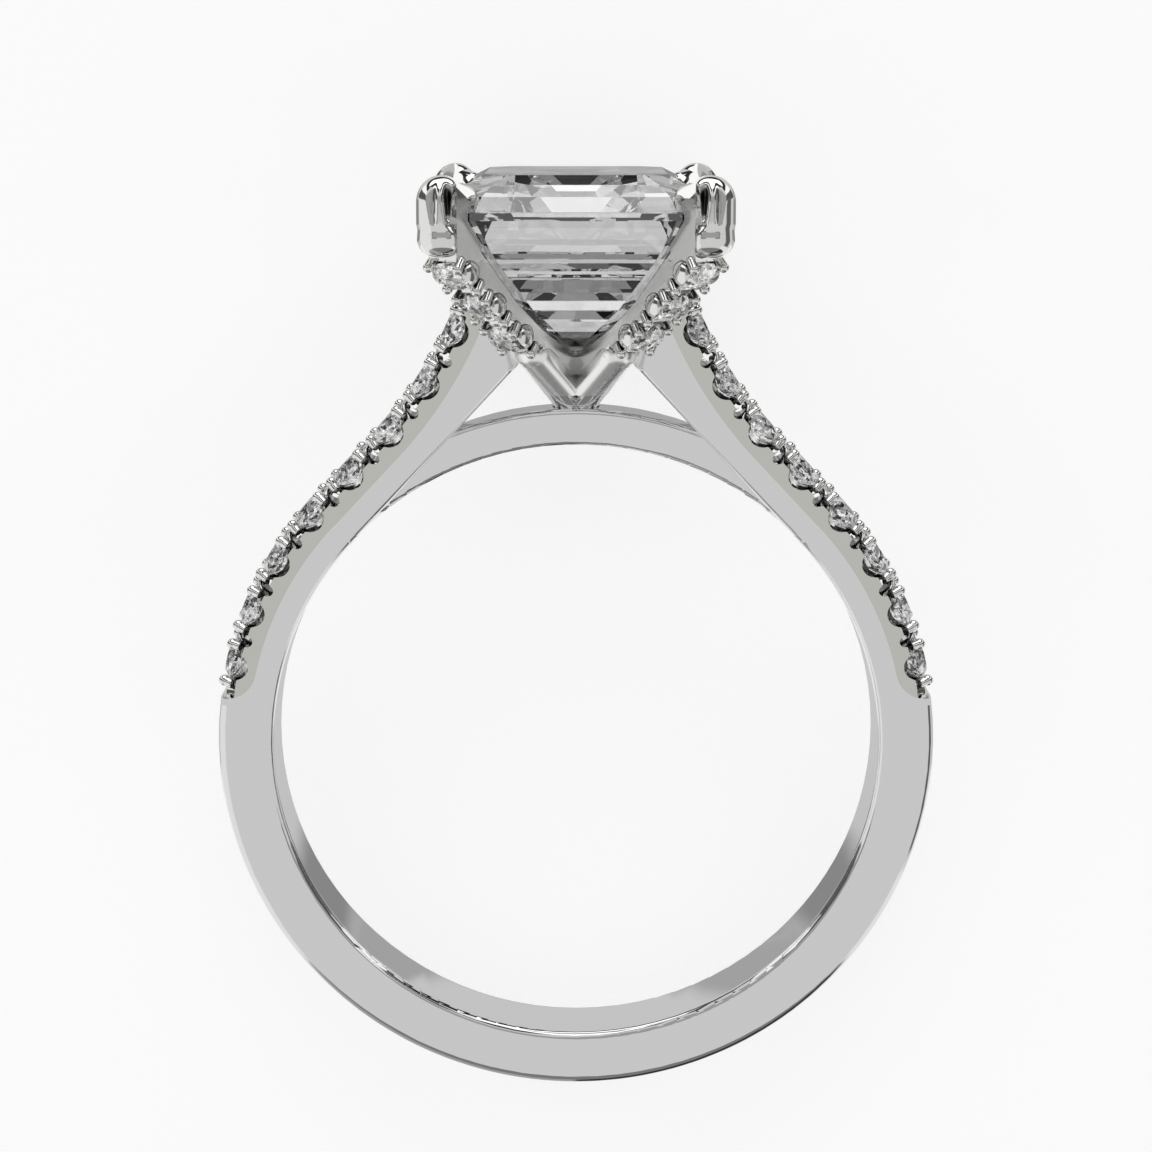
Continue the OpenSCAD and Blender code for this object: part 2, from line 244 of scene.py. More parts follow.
# %% The pale table
def new_material(name, look):
    """A material whose shader has the given values on its own sockets."""
    material = bpy.data.materials.new(name)
    material.use_nodes = True
    shader = material.node_tree.nodes["Principled BSDF"]
    for socket, value in look.items():
        shader.inputs[socket].default_value = value
    return material, material.node_tree, shader


TABLE_SIZE = 1.2
bpy.ops.object.select_all(action="DESELECT")
bpy.ops.mesh.primitive_plane_add(size=TABLE_SIZE, location=(0, 0, 0))
table = bpy.context.object
table.name = "table"
table_paint, tree, shader = new_material("table_paint", {
    "Base Color": (0.36, 0.36, 0.36, 1), "Roughness": 1.0, "Specular IOR Level": 0.0,
    "Emission Color": (1, 1, 1, 1), "Emission Strength": 0.75,
})
camera_only = add_node(tree, "ShaderNodeMixShader", {
    0: add_node(tree, "ShaderNodeLightPath").outputs["Is Camera Ray"],
    1: add_node(tree, "ShaderNodeBsdfTransparent").outputs[0],
    2: shader.outputs[0],
})
tree.links.new(camera_only.outputs[0], tree.nodes["Material Output"].inputs["Surface"])
table.data.materials.append(table_paint)
print("table side in metres:", TABLE_SIZE)

# %% [markdown]
# The ring is polished white gold. Polish is never perfect: a buffing wheel leaves hair-fine
# scratches and faint waves. The deepest hollows between the prongs get painted shade, near black,
# which stands for shadow and for the polishing paste left there. The wear could be painted, but a
# group of nodes gives wear and painted shade to every metal at once, from Object coordinates and
# from a measure of each hollow that is noted further down.

# %% The group of nodes for the wear of polished metal, and for painted shade in its hollows
COLOUR, NUMBER, DIRECTION = "NodeSocketColor", "NodeSocketFloat", "NodeSocketVector"


def new_group(name, inputs, outputs):
    """A group of nodes with named inputs, of a kind and a usual value, and named outputs."""
    group = bpy.data.node_groups.new(name, "ShaderNodeTree")
    for socket, (kind, usual) in inputs.items():
        made = group.interface.new_socket(name=socket, in_out="INPUT", socket_type=kind)
        made.default_value = usual
    for socket, kind in outputs.items():
        group.interface.new_socket(name=socket, in_out="OUTPUT", socket_type=kind)
    return group, add_node(group, "NodeGroupInput").outputs


polish_and_shade, wear_and_shade = new_group(
    "polish_and_shade",
    {
        "Colour": (COLOUR, (0.8, 0.8, 0.8, 1)), "Roughness": (NUMBER, 0.06),
        "Scratch": (NUMBER, 0.03), "Paste and shade": (NUMBER, 0.9),
    },
    {"Colour": COLOUR, "Roughness": NUMBER, "Normal": DIRECTION},
)
place = add_node(polish_and_shade, "ShaderNodeTexCoord").outputs["Object"]
print("inputs of the polish group:", [socket.name for socket in wear_and_shade if socket.name])

# %% [markdown]
# Scratches run one way, so their noise is stretched. Waves are wide and shallow, and where they
# stand higher the polish is a touch less sharp. Both only tilt the surface, as the real marks are
# far too shallow to change its outline.

# %% Scratches and waves
stretched = add_node(polish_and_shade, "ShaderNodeMapping", {"Vector": place, "Scale": (1, 0.12, 0.5)})
hairs = add_node(polish_and_shade, "ShaderNodeTexNoise", {
    "Vector": stretched.outputs[0], "Scale": 26000.0, "Detail": 3.0,
})
waves = add_node(polish_and_shade, "ShaderNodeTexNoise", {"Vector": place, "Scale": 450.0, "Detail": 2.0})
hair_bump = add_node(polish_and_shade, "ShaderNodeBump", {
    "Strength": wear_and_shade["Scratch"], "Distance": 0.00001, "Height": hairs.outputs[0],
})
wave_bump = add_node(polish_and_shade, "ShaderNodeBump", {
    "Strength": 0.05, "Distance": 0.00004, "Height": waves.outputs[0],
    "Normal": hair_bump.outputs[0],
})
WAVE_BLUR = 0.04
spread = add_node(
    polish_and_shade, "ShaderNodeMath", {0: waves.outputs[0], 1: WAVE_BLUR}, operation="MULTIPLY"
)
rougher = add_node(
    polish_and_shade, "ShaderNodeMath", {0: wear_and_shade["Roughness"], 1: spread.outputs[0]}, operation="ADD"
)
print("nodes for scratches and waves:", len(polish_and_shade.nodes))

# %% [markdown]
# Hollows get painted shade: the metal is painted nearly black where light and a polishing cloth
# can't reach, for shadow and for paste. Every point of the fine pieces carries a number from
# open to deep, named recess, and the metal turns nearly black between two values of it. An
# ambient occlusion node does much the same, but only while rendering, and this stays on the mesh.

# %% Painted shade and paste in the hollows
# Painted shade: the colour that the deepest hollows are painted, for shadow and for paste.
PASTE_AND_SHADE_COLOUR = (0.02, 0.02, 0.02, 1)
FIRST_PASTE_AND_SHADE, FULL_PASTE_AND_SHADE = 0.16, 0.46
recess = add_node(polish_and_shade, "ShaderNodeAttribute", attribute_name="recess")
deep = add_node(
    polish_and_shade, "ShaderNodeMapRange",
    {"Value": recess.outputs["Fac"], "From Min": FIRST_PASTE_AND_SHADE, "From Max": FULL_PASTE_AND_SHADE},
    interpolation_type="SMOOTHSTEP",
)
paste_and_shade = add_node(
    polish_and_shade, "ShaderNodeMath", {0: deep.outputs[0], 1: wear_and_shade["Paste and shade"]}, operation="MULTIPLY"
)
toned = add_node(
    polish_and_shade, "ShaderNodeMix", {0: paste_and_shade.outputs[0], 6: wear_and_shade["Colour"], 7: PASTE_AND_SHADE_COLOUR},
    data_type="RGBA",
)
add_node(polish_and_shade, "NodeGroupOutput", {
    "Colour": toned.outputs[2], "Roughness": rougher.outputs[0], "Normal": wave_bump.outputs[0],
})
print("polish group nodes:", len(polish_and_shade.nodes))

# %% [markdown]
# White gold has a nearly neutral colour, and the burred side of a setting looks a little warmer
# than the plated band. Four metals share the group with their own values: bright for the band,
# warm for the sides of the set shoulders, one for prongs and claws, and a satin one for narrow
# flats, where a mirror would only break up the room.

# %% The metals
def metal_like(name, colour, roughness, scratch, paste_and_shade_left):
    material, tree, shader = new_material(name, {"Metallic": 1})
    values = {
        "Colour": (*colour, 1), "Roughness": roughness, "Scratch": scratch, "Paste and shade": paste_and_shade_left,
    }
    worn_and_shaded = add_node(tree, "ShaderNodeGroup", values, node_tree=polish_and_shade)
    for out, into in (("Colour", "Base Color"), ("Roughness", "Roughness"), ("Normal", "Normal")):
        tree.links.new(worn_and_shaded.outputs[out], shader.inputs[into])
    return material


# The last value is the share of painted shade and paste in the hollows; the band gets none.
bright_metal = metal_like("bright_metal", (0.80, 0.80, 0.80), 0.04, 0.03, 0.0)
warm_metal = metal_like("warm_metal", (0.655, 0.66, 0.615), 0.04, 0.03, 0.9)
set_metal = metal_like("set_metal", (0.82, 0.82, 0.80), 0.04, 0.02, 0.95)
satin_metal = metal_like("satin_metal", (0.97, 0.97, 0.96), 0.24, 0.03, 0.9)
print("users of the polish group:", polish_and_shade.users)

# %% [markdown]
# A brilliant cut of a millimetre breaks what is behind it into glints far finer than its facets,
# and the flats of a large step cut carry only faint polishing waves. Modelling such glints would
# take millions of facets. A group of cells tilts the surface a little in each cell, and paints
# every cell a dark or light tone, a painted reflection, and now and then a painted glint.

# %% The group of nodes for tilted facets and painted glints
glints, asked = new_group(
    "glints", {"Size": (NUMBER, 9000.0), "Tilt": (NUMBER, 0.1)},
    {"Colour": COLOUR, "Painted glint": COLOUR, "Normal": DIRECTION},
)


def glint_vector(operation, inputs):
    return add_node(glints, "ShaderNodeVectorMath", inputs, operation=operation).outputs[0]


PAINTED_CELL_TONES = [(0, 0.02), (0.26, 0.5), (0.48, 1.0)]
PAINTED_CELL_GLINTS = [(0, 0.0), (0.62, 0.12), (0.78, 0.7)]
MIDDLE_GREY = (0.5, 0.5, 0.5)
cells = add_node(glints, "ShaderNodeTexVoronoi", {
    "Vector": add_node(glints, "ShaderNodeTexCoord").outputs["Object"], "Scale": asked["Size"],
})
centred = glint_vector("SUBTRACT", {0: cells.outputs["Color"], 1: MIDDLE_GREY})
leaned = glint_vector("SCALE", {0: centred, "Scale": asked["Tilt"]})
faced = add_node(glints, "ShaderNodeNewGeometry").outputs["Normal"]
tilted = glint_vector("NORMALIZE", {0: glint_vector("ADD", {0: faced, 1: leaned})})
cell_values = add_node(glints, "ShaderNodeSeparateColor", {0: cells.outputs["Color"]})
add_node(glints, "NodeGroupOutput", {
    "Colour": stepped(glints, cell_values.outputs[0], PAINTED_CELL_TONES),
    "Painted glint": stepped(glints, cell_values.outputs[1], PAINTED_CELL_GLINTS),
    "Normal": tilted,
})
print("glints group nodes:", len(glints.nodes))

# %% [markdown]
# Both stones are clear and bend light as diamond does. The small ones take the cells' painted
# dark and light, a painted reflection, as their colour, and glow faintly with painted glints,
# since a render can't trace what a real brilliant does in a millimetre.

# %% The small stones
STONE_LOOK = {
    "Base Color": (1, 1, 1, 1), "Roughness": 0, "IOR": 2.42, "Transmission Weight": 1,
}


def stone_like(name, size, tilt):
    """A clear stone whose facets are tilted by the glints group."""
    material, tree, shader = new_material(name, STONE_LOOK)
    sparkle = add_node(tree, "ShaderNodeGroup", {"Size": size, "Tilt": tilt}, node_tree=glints)
    tree.links.new(sparkle.outputs["Normal"], shader.inputs["Normal"])
    return material, tree, shader, sparkle


small_diamond, tree, shader, sparkle = stone_like("small_clear_stone", 8500.0, 0.14)
# Painted reflection and painted glints: cell tones go into the colour, glints into the glow.
tree.links.new(sparkle.outputs["Colour"], shader.inputs["Base Color"])
tree.links.new(sparkle.outputs["Painted glint"], shader.inputs["Emission Color"])
shader.inputs["Emission Strength"].default_value = 0.30
print("cell tones:", len(PAINTED_CELL_TONES), "glints:", len(PAINTED_CELL_GLINTS))

# %% [markdown]
# Under the girdle of a step cut the facets lie in level rows, and each row shows as a band of one
# tone, down to a dark one at the point. Here those bands are painted reflection and shade in the
# stone's colour, set by the height of a place on the stone, which is its distance along the upright
# direction. Light has to pass many faces to come out of such a stone, so the renderer is allowed
# more bounces.

# %% The centre stone
STONE_LOW, STONE_HIGH = 10.8, 15.5
PAINTED_ROW_TONES = [(0.0, 0.04), (0.118, 1.0), (0.305, 0.72), (0.35, 0.62), (0.525, 1.0), (0.73, 0.8)]
diamond, tree, shader, sparkle = stone_like("clear_stone", 400.0, 0.004)
per_metre = 1 / MM / (STONE_HIGH - STONE_LOW)
up = (BENCH.to_3x3() @ Vector((0, 0, 1))).normalized()
low_point = BENCH @ Vector((0, 0, STONE_LOW))
risen = add_node(
    tree, "ShaderNodeVectorMath",
    {0: add_node(tree, "ShaderNodeTexCoord").outputs["Object"], 1: up * per_metre},
    operation="DOT_PRODUCT",
)
share = add_node(
    tree, "ShaderNodeMath", {0: risen.outputs["Value"], 1: -low_point.dot(up) * per_metre}
)
# Painted reflection and shade: a tone for each band of height goes into the stone's colour.
tree.links.new(stepped(tree, share.outputs[0], PAINTED_ROW_TONES), shader.inputs["Base Color"])
cycles = bpy.context.scene.cycles
cycles.max_bounces = cycles.transmission_bounces = 16
cycles.glossy_bounces = 8
print("facet rows toned:", len(PAINTED_ROW_TONES))

# %% [markdown]
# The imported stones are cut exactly, so they stay as they are and only get their material. The
# packed metal gets one too, although the pieces below will stand for it.

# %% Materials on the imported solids
SOLID_LOOKS = {"mounting": bright_metal, "centre_stone": diamond}
for name, node in nodes.items():
    node.data.materials.clear()
    node.data.materials.append(SOLID_LOOKS.get(name, small_diamond))
print("small stones:", sum(name not in SOLID_LOOKS for name in nodes))

# %% [markdown]
# A goldsmith works with a few forms again and again: a rod, a ball, a block and a slab sawn to an
# outline. Each is a primitive at its size and place, or a filled curve made into a mesh, and its
# turn and scale are applied at once, so that only its points carry its place.

# %% Bench forms
DOUBLED = 0.0001


def lone(obj):
    """Selects one object and nothing else, because a tool works on all that is selected."""
    bpy.ops.object.select_all(action="DESELECT")
    obj.select_set(True)
    bpy.context.view_layer.objects.active = obj
    return obj


def settled(obj):
    lone(obj)
    bpy.ops.object.transform_apply(location=True, rotation=True, scale=True)
    return obj


def rod(start, end, r_start, r_end, sides=24):
    start, end = Vector(start), Vector(end)
    along = end - start
    bpy.ops.object.select_all(action="DESELECT")
    bpy.ops.mesh.primitive_cone_add(
        vertices=sides, radius1=r_start, radius2=r_end, depth=along.length,
        location=(start + end) / 2, rotation=along.to_track_quat("Z", "Y").to_euler(),
    )
    return settled(bpy.context.object)


def ball(centre, radius, stretch=(1, 1, 1)):
    bpy.ops.object.select_all(action="DESELECT")
    bpy.ops.mesh.primitive_uv_sphere_add(
        segments=24, ring_count=14, radius=radius, location=centre, scale=stretch
    )
    return settled(bpy.context.object)


def block(low, high):
    low, high = Vector(low), Vector(high)
    bpy.ops.object.select_all(action="DESELECT")
    bpy.ops.mesh.primitive_cube_add(size=1, location=(low + high) / 2, scale=high - low)
    return settled(bpy.context.object)


def closed_skin(obj):
    """Merges doubled points and turns every face outwards."""
    lone(obj)
    bpy.ops.object.mode_set(mode="EDIT")
    bpy.ops.mesh.select_all(action="SELECT")
    bpy.ops.mesh.remove_doubles(threshold=DOUBLED)
    bpy.ops.mesh.normals_make_consistent(inside=False)
    bpy.ops.object.mode_set(mode="OBJECT")
    return obj


def drawn(name, points, dimensions):
    """A curve of straight lines through the points."""
    curve = bpy.data.curves.new(name, "CURVE")
    curve.dimensions = dimensions
    spline = curve.splines.new("POLY")
    spline.points.add(len(points) - 1)
    for point, place in zip(spline.points, points):
        point.co = (*place, 1)
    return curve


def meshed(curve):
    """The mesh that a curve makes, as an object of its own."""
    obj = bpy.data.objects.new(curve.name, curve)
    bpy.context.collection.objects.link(obj)
    lone(obj)
    bpy.ops.object.convert(target="MESH")
    return bpy.context.object


def slab(outline, half, rounding=0.0):
    """A slab sawn to an outline of x and z, and as thick as twice half along y."""
    curve = drawn("slab", [(x, z, 0) for x, z in outline], "2D")
    curve.splines[0].use_cyclic_u = True
    curve.fill_mode = "BOTH"
    curve.extrude = half - rounding
    curve.bevel_depth = rounding
    curve.offset = -rounding
    curve.bevel_resolution = 3
    obj = meshed(curve)
    obj.rotation_euler = (math.pi / 2, 0, 0)
    return closed_skin(settled(obj))


# %% [markdown]
# Forms are then moved, copied, joined, soldered and cut. A mirrored copy would be inside out, so
# its faces are flipped. Soldering and cutting are exact boolean modifiers, each applied at once,
# because closed forms that really overlap give one closed skin that way.

# %% Bench tools
def moved(obj, matrix):
    obj.data.transform(matrix)
    return obj


def copy_of(obj, matrix=None):
    twin = obj.copy()
    twin.data = obj.data.copy()
    bpy.context.collection.objects.link(twin)
    if matrix is not None:
        moved(twin, matrix)
        if matrix.determinant() < 0:
            twin.data.flip_normals()
    return twin


def put_away(forms):
    for form in forms:
        bpy.data.objects.remove(form, do_unlink=True)


def joined(pieces, name):
    lone(pieces[0])
    for piece in pieces[1:]:
        piece.select_set(True)
    bpy.ops.object.join()
    pieces[0].name = name
    return pieces[0]


def modified(obj, kind, **settings):
    lone(obj)
    modifier = obj.modifiers.new(kind.lower(), kind)
    for name, value in settings.items():
        setattr(modifier, name, value)
    bpy.ops.object.modifier_apply(modifier=modifier.name)
    return obj


def united(pieces, name):
    """Solders pieces that overlap into one closed skin."""
    for piece in pieces[1:]:
        modified(pieces[0], "BOOLEAN", operation="UNION", object=piece, solver="MANIFOLD")
    put_away(pieces[1:])
    pieces[0].name = name
    return pieces[0]


def cut(obj, cutters):
    for cutter in cutters:
        modified(obj, "BOOLEAN", operation="DIFFERENCE", object=cutter, solver="MANIFOLD")
    put_away(cutters)
    return obj


# %% [markdown]
# A polished piece is smooth over its curves and crisp at its edges. Faces that meet at less than
# an angle share their shading, and weighted normals keep the flats flat up to their rims. A
# mirrored copy is shaded anew, because its normals would still be those of the first. At the end
# a piece is laid down and given its metals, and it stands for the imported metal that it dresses.

# %% Shading and laying down
def shaded(obj, angle):
    """Smooth shading between faces that meet at less than an angle, with flats kept flat."""
    lone(obj)
    bpy.ops.object.shade_smooth_by_angle(angle=math.radians(angle))
    return modified(obj, "WEIGHTED_NORMAL", mode="FACE_AREA", weight=50, keep_sharp=True)


def finished(obj, *metals, chosen=None):
    """Lays a piece down with its metals; chosen gives the number of each face's metal."""
    moved(obj, BENCH)
    obj.data.materials.clear()
    for metal in metals:
        obj.data.materials.append(metal)
    if chosen:
        obj.data.polygons.foreach_set("material_index", chosen)
    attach(obj, "root")
    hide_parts("mounting")
    print(obj.name, "faces:", len(obj.data.polygons))
    return obj


# %% [markdown]
# How deep a place lies in a hollow is measured with short feelers that fan out over it, some
# steep and some low. The share of them that touch metal within a small reach is noted at each
# point of the fine parts of a piece, where the metals then paint their shade and paste.

# %% Feelers that measure hollows
FEELER_RINGS = ((35, 6), (65, 10))
FINE_FACE, LIFT = 0.02, 0.01
feelers = []
for tilt, count in FEELER_RINGS:
    lean = math.radians(tilt)
    for k in range(count):
        around = 2 * math.pi * (k + tilt / 100) / count
        sideways = math.sin(lean)
        feelers.append(Vector((
            sideways * math.cos(around), sideways * math.sin(around), math.cos(lean),
        )))


def note_recess(obj, reach, extra=None):
    """Notes at each point of fine mesh which share of short feelers over it touches the piece."""
    mesh = obj.data
    metal = BVHTree.FromPolygons([v.co for v in mesh.vertices], [f.vertices for f in mesh.polygons])
    widest = [0.0] * len(mesh.vertices)
    for face in mesh.polygons:
        for index in face.vertices:
            widest[index] = max(widest[index], face.area)
    shares = []
    for vertex in mesh.vertices:
        share = extra(vertex.co) if extra else 0.0
        if widest[vertex.index] < FINE_FACE:
            turn = vertex.normal.to_track_quat("Z", "Y")
            start = vertex.co + vertex.normal * LIFT
            hits = [metal.ray_cast(start, turn @ feeler, reach)[0] for feeler in feelers]
            share = max(share, sum(hit is not None for hit in hits) / len(feelers))
        shares.append(share)
    mesh.attributes.new("recess", "FLOAT", "POINT").data.foreach_set("value", shares)
    print(obj.name, "deepest share:", round(max(shares), 2))
    return obj


print("feelers at each point:", len(feelers))

# %% [markdown]
# The small stones stand along the outer edge of each shoulder. The edge runs round with the band,
# leaves it in a straight line, and sweeps up to the head. A row is far easier to cut straight, so
# it is made along a straight line first and then bent onto the edge, point by point.

# %% The line of the shoulder's edge
EDGE_R, LEAVE, STRAIGHT, SWEEP_R = 9.72, math.radians(43.2), 2.52, 11.2
STRAIGHT_R = EDGE_R - 0.01
FIRST, PITCH, STONES = math.radians(13.6), 1.58, 8
BELOW_FIRST, PAST_LAST = math.radians(5.6), 0.72
HALF_WIDTH = 1.1
arc_length = EDGE_R * (LEAVE - FIRST)


def edge_at(s):
    """Place and outward angle of the right shoulder's edge, at s along it from the first stone."""
    if s < arc_length:
        a = FIRST + s / EDGE_R
        return EDGE_R * math.cos(a), EDGE_R * math.sin(a), a
    run = min(s - arc_length, STRAIGHT)
    x = STRAIGHT_R * math.cos(LEAVE) - run * math.sin(LEAVE)
    z = STRAIGHT_R * math.sin(LEAVE) + run * math.cos(LEAVE)
    a = LEAVE - max(0.0, s - arc_length - STRAIGHT) / SWEEP_R
    x += SWEEP_R * (math.cos(LEAVE) - math.cos(a))
    z += SWEEP_R * (math.sin(LEAVE) - math.sin(a))
    return x, z, a


def laid_along_edge(obj):
    """Bends a form from the straight line onto the edge. The turn of its axes mirrors it."""
    for vertex in obj.data.vertices:
        s, y, h = vertex.co
        x, z, a = edge_at(s)
        vertex.co = (x + h * math.cos(a), y, z + h * math.sin(a))
    obj.data.flip_normals()
    return obj


last_stone = (STONES - 1) * PITCH
row_start = -EDGE_R * BELOW_FIRST
row_end = last_stone + PAST_LAST
print("row from", round(row_start, 2), "to", round(row_end, 2))

# %% [markdown]
# The row starts as a bar whose two upper edges are burred off at an angle. Its lower end is
# rounded, because on the real ring the set part of the shoulder fades into the plain band in a
# curve. The bar is a little larger than the room that it will fill, for cutting flat later.

# %% The bar and its burred edges
ROW_DEPTH, ROW_FLAT, ROW_TOP = 0.8, -0.32, 0.6
STOCK, SIDE_STOCK = 0.2, 0.04
EDGE_LEAN = math.radians(47)
END_STEPS, END_STEP = 10, 9


def row_outline(depth, low_end, high_end):
    """Side outline of the row, by distance along the edge and height over it, round low down."""
    outline = [(high_end, ROW_TOP), (high_end, -depth)]
    for k in range(END_STEPS):
        turn = math.radians(END_STEP * k)
        outline.append((low_end + depth * (1 - math.sin(turn)), -depth * math.cos(turn)))
    return outline + [(low_end, ROW_TOP)]


bar = row_outline(ROW_DEPTH + STOCK, row_start - STOCK, row_end)
row = slab(bar, HALF_WIDTH + SIDE_STOCK)
row.name = "shoulder_row"
burs = [block((row_start - 1, -2, 0), (row_end + 1, 2, 1))]
for side in (-1, 1):
    edge_bur = block((row_start - 1, -0.5, 0), (row_end + 1, 0.5, 1))
    at_edge = Matrix.Translation((0, side * HALF_WIDTH, ROW_FLAT))
    burs.append(moved(edge_bur, at_edge @ Matrix.Rotation(side * EDGE_LEAN, 4, "X")))
cut(row, burs)
print("bar faces:", len(row.data.polygons))

# %% [markdown]
# A round stone sits in a hole with a straight wall above its girdle and a cone below. On both
# sides of the stone a bur has cut a trough right through the edge, so that light comes in from
# the side. Half way between two stones a finer groove splits the metal into separate prongs. The
# burs are forms too, copied from stone to stone and then taken out of the bar.

# %% Seats, troughs and grooves
BUR_SIDES, OPEN_UP, HAIR = 32, 1.5, 0.001


def trough(half, bottom):
    """A bur mark across the bar: a round floor of the given half width, open above."""
    form = rod((0, -2, half - bottom), (0, 2, half - bottom), half, half, BUR_SIDES)
    for vertex in form.data.vertices:
        if vertex.co.z > half - bottom + HAIR:
            vertex.co.z += OPEN_UP
    return form


def seat(radius, girdle, depth):
    """The hole that a round stone sits in: a wall above its girdle and a cone below."""
    wall = rod((0, 0, girdle), (0, 0, girdle + OPEN_UP), radius, radius, BUR_SIDES)
    cone = rod((0, 0, girdle - depth), (0, 0, girdle + 0.01), 0.02, radius, BUR_SIDES)
    return wall, cone


def at_stone(k):
    return Matrix.Translation((k * PITCH, 0, 0))


LAST_NOTCH = -0.76
stone_burs = [trough(0.38, 0.57), *seat(0.668, -0.15, 0.60)]
groove = trough(0.15, 0.50)
burs = []
for k in range(STONES):
    burs += [copy_of(form, at_stone(k)) for form in stone_burs]
for k in range(1, STONES):
    burs.append(copy_of(groove, at_stone(k - 0.5)))
burs.append(moved(trough(0.07, 0.34), Matrix.Translation((LAST_NOTCH, 0, 0))))
put_away(stone_burs + [groove])
print("burs:", len(burs))
cut(row, burs)

# %% [markdown]
# Four prongs lean in over each stone. Each is a short rod with a bead for an end, and a thin rim
# round the stone joins them. The rim dips where the troughs cut through the edge. One set is made
# and copied along the bar, with two more pairs of rods above the last stone.

# %% The prongs and rims
def collar(radius, thick, low, high, steep):
    """The thin rim round a stone's seat, which dips where the troughs cut through the edge."""
    bpy.ops.object.select_all(action="DESELECT")
    bpy.ops.mesh.primitive_torus_add(
        major_radius=radius, minor_radius=thick, major_segments=48, minor_segments=10
    )
    rim = settled(bpy.context.object)
    for vertex in rim.data.vertices:
        across = min(1.0, abs(vertex.co.y) / radius)
        vertex.co.z += high + (low - high) * across ** steep
    return rim


PRONG_R, TIP_R, BEAD_R = 0.12, 0.14, 0.16
prongs = [collar(0.73, 0.075, -0.57, -0.04, 3)]
for s in (-1, 1):
    for y in (-1, 1):
        prongs.append(rod((s * 0.55, y * 0.86, -0.22), (s * 0.53, y * 0.72, 0.0), PRONG_R, TIP_R))
        prongs.append(ball((s * 0.52, y * 0.71, 0.02), BEAD_R))
prong_set = joined(prongs, "prong_set")
sets = [copy_of(prong_set, at_stone(k)) for k in range(STONES)]
put_away([prong_set])
TOP_FROM, TOP_RUN = 0.5, 0.62
top_prongs = []
for y in (-1, 1):
    low = last_stone + TOP_FROM
    top_prongs.append(rod((low, y * 0.72, -0.05), (low + TOP_RUN, y * 0.62, 0.02), 0.15, TIP_R))
    top_prongs.append(rod((low, y * 0.97, -0.30), (low + TOP_RUN, y * 0.93, -0.22), TIP_R, TIP_R))
row = joined([row] + sets + top_prongs, "shoulder_row")
print("faces before melting:", len(row.data.polygons))

# %% [markdown]
# A casting has no seams, so bar, rims and prongs are melted into one skin with a voxel remesh and
# softened a little. That blurs the sides of the shoulder too, which have to meet the flat metal
# below them, so they are cut flat again before the row is bent onto the edge and its hollows are
# measured.

# %% One row, melted, cut flat and laid along the edge
VOXEL, SOFTENING, KEEP = 0.026, 2, 0.3
ROW_REACH, CRISP = 0.50, 50
ROW_SIDE = HALF_WIDTH - 0.003


def fused(obj, voxel, rounds):
    """Melts overlapping forms into one skin and softens its edges."""
    modified(obj, "REMESH", mode="VOXEL", voxel_size=voxel)
    modified(obj, "SMOOTH", factor=0.5, iterations=rounds)
    lone(obj)
    bpy.ops.object.shade_smooth()
    return obj


fused(row, VOXEL, SOFTENING)
print("melted row's faces:", len(row.data.polygons))
outside = [(y, y + 1) for y in (ROW_SIDE, -ROW_SIDE - 1)]
cut(row, [block((row_start - 2, y, -2), (row_end + 2, far, 2)) for y, far in outside])
laid_along_edge(row)
modified(row, "DECIMATE", ratio=KEEP)
# The measure of the hollows sets where the row's metal is painted with shade and paste.
note_recess(row, ROW_REACH)
left_row = shaded(copy_of(row, Matrix.Scale(-1, 4, (1, 0, 0))), CRISP)
shaded(row, CRISP)
row.name, left_row.name = "right_shoulder_row", "left_shoulder_row"

# %% [markdown]
# The band, the bridge and the flat sides of the shoulders are already right as solids. A copy of
# the metal is taken, its doubled points are merged, and the head and the rows are cut away from
# it to make room. That keeps every plain surface exactly where the solid has it.

# %% The shank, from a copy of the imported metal
shank = copy_of(nodes["mounting"], BENCH.inverted())
shank.name = "shank"
lone(shank)
bpy.ops.mesh.customdata_custom_splitnormals_clear()
closed_skin(shank)
print("merged copy:", len(shank.data.vertices), "points")

# %% [markdown]
# The head stands over the bridge between the shoulders' ends. It is cut away by a block over the
# bridge, by a prism in front and one behind, and by a small wedge under each side, so that only
# what belongs to band, bridge and shoulders is left.

# %% Room for the head
HEAD_ROOM = [
    (-9, 6), (-9, 1.13), (-1.94, 1.13), (-0.69, 0.45),
    (0.69, 0.45), (1.94, 1.13), (9, 1.13), (9, 6),
]
HEAD_MIDDLE, BRIDGE_TOP = 13.28, 9.24
UNDER_WEDGE = [
    (0.5, 9.24), (1.0, 9.2), (1.5, 9.13), (1.9, 9.055),
    (1.9, 10.03), (1.5, 10.46), (0.7, 10.19), (0.5, 10.19),
]
head_rooms = [block((-0.7, -6, BRIDGE_TOP), (0.7, 6, 17))]
for front in (-1, 1):
    prism = slab([(x, front * y) for x, y in HEAD_ROOM], 4)
    upright = Matrix.Translation((0, 0, HEAD_MIDDLE)) @ Matrix.Rotation(math.pi / 2, 4, "X")
    head_rooms.append(closed_skin(moved(prism, upright)))
for side in (-1, 1):
    head_rooms.append(slab([(side * x, z) for x, z in UNDER_WEDGE], 1.2))
cut(shank, head_rooms)
print("shank faces without the head:", len(shank.data.polygons))

# %% [markdown]
# The room for a row has to follow the same bent edge. It is sawn straight, cut across into many
# short lengths so that it can bend, and then laid along the edge as the row was.

